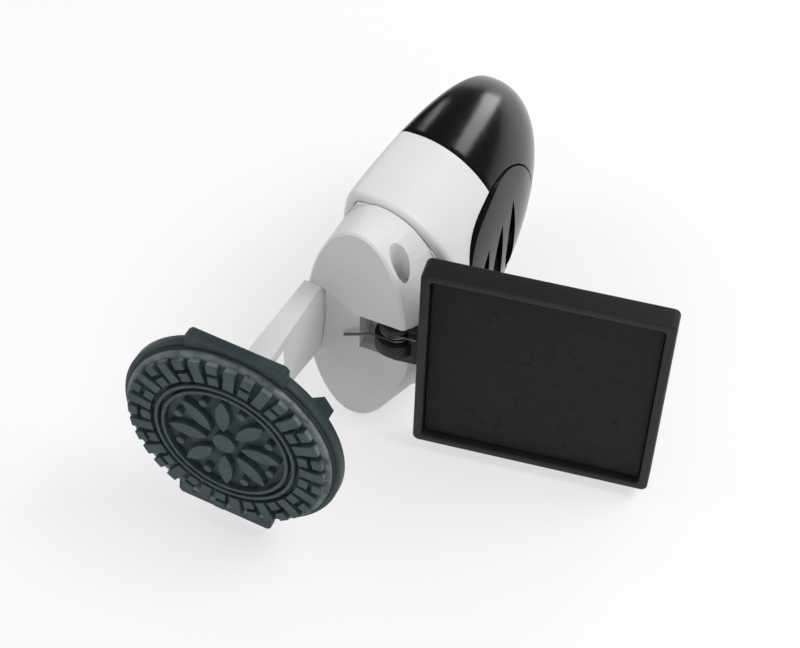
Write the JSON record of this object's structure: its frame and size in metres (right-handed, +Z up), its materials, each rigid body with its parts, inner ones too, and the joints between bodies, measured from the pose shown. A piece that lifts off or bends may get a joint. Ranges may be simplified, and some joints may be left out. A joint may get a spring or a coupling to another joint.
{
  "type": "pocket stamp",
  "caption": "Pocket hand stamp with an egg-shaped grip that is flat on one side, a round die on a folding forked arm and a sprung swing-out ink tray, with thumb buttons on the sides.",
  "frame": {"origin": "under the middle of the whole object, on the surface it lies on", "axes": "+Y runs along the grip from the die to the dome's tip, +Z is up across the grip's width and along both hinge pins, +X points to the ink tray's side"},
  "size_m": [0.09, 0.109, 0.0508],
  "materials": {
    "black_gloss": "glossy injection-moulded black plastic",
    "white_shell": "satin off-white injection-moulded plastic",
    "steel": "drawn bright steel wire and pin",
    "plate_plastic": "satin dark grey-green plastic",
    "cushion_foam": "fine closed-cell foam",
    "die_rubber": "laser-cut matt grey-green rubber",
    "charcoal_plastic": "fine-grained charcoal plastic",
    "pad_felt": "ink-soaked woven pad, uneven"
  },
  "bodies": {
    "grip": {"handle_dome": "black_gloss", "handle_sleeve": "white_shell", "neck_frame": "white_shell", "handle_core": "white_shell", "core_screws": "steel", "button_spring_right": "steel", "button_spring_left": "steel", "stamp_arm": "white_shell", "plate_pivot_pin": "steel", "tray_hinge_pin": "steel", "tray_hinge_spring": "steel"},
    "tray": {"tray_carrier": "charcoal_plastic", "ink_tray": "charcoal_plastic", "ink_pad": "pad_felt"},
    "stamp_head": {"plate_holder": "plate_plastic", "stamp_plate": "plate_plastic", "die_cushion": "cushion_foam", "rubber_die": "die_rubber"},
    "button_right": {"thumb_button_right": "black_gloss"},
    "button_left": {"thumb_button_left": "black_gloss"}
  },
  "joints": [
    {"name": "tray_hinge", "type": "hinge", "parent": "grip", "child": "tray", "pos_m": [-0.007, -0.01574, 0.0231], "axis": [0, 0, 1], "range_deg": [-75, 0], "stiffness_Nm_per_rad": 0.012, "springref_deg": 22.92, "deforming": ["tray_hinge_spring"]},
    {"name": "plate_pivot", "type": "hinge", "parent": "grip", "child": "stamp_head", "pos_m": [-0.02292, -0.04391, 0.02695], "axis": [0, 0, 1], "range_deg": [0, 90]},
    {"name": "button_right_press", "type": "slide", "parent": "grip", "child": "button_right", "axis": [-1, 0, 0], "range_m": [0, 0.0012], "stiffness_N_per_m": 500, "springref_m": -0.002, "deforming": ["button_spring_right"]},
    {"name": "button_left_press", "type": "slide", "parent": "grip", "child": "button_left", "axis": [1, 0, 0], "range_m": [0, 0.0012], "stiffness_N_per_m": 500, "springref_m": -0.002, "deforming": ["button_spring_left"]}
  ]
}
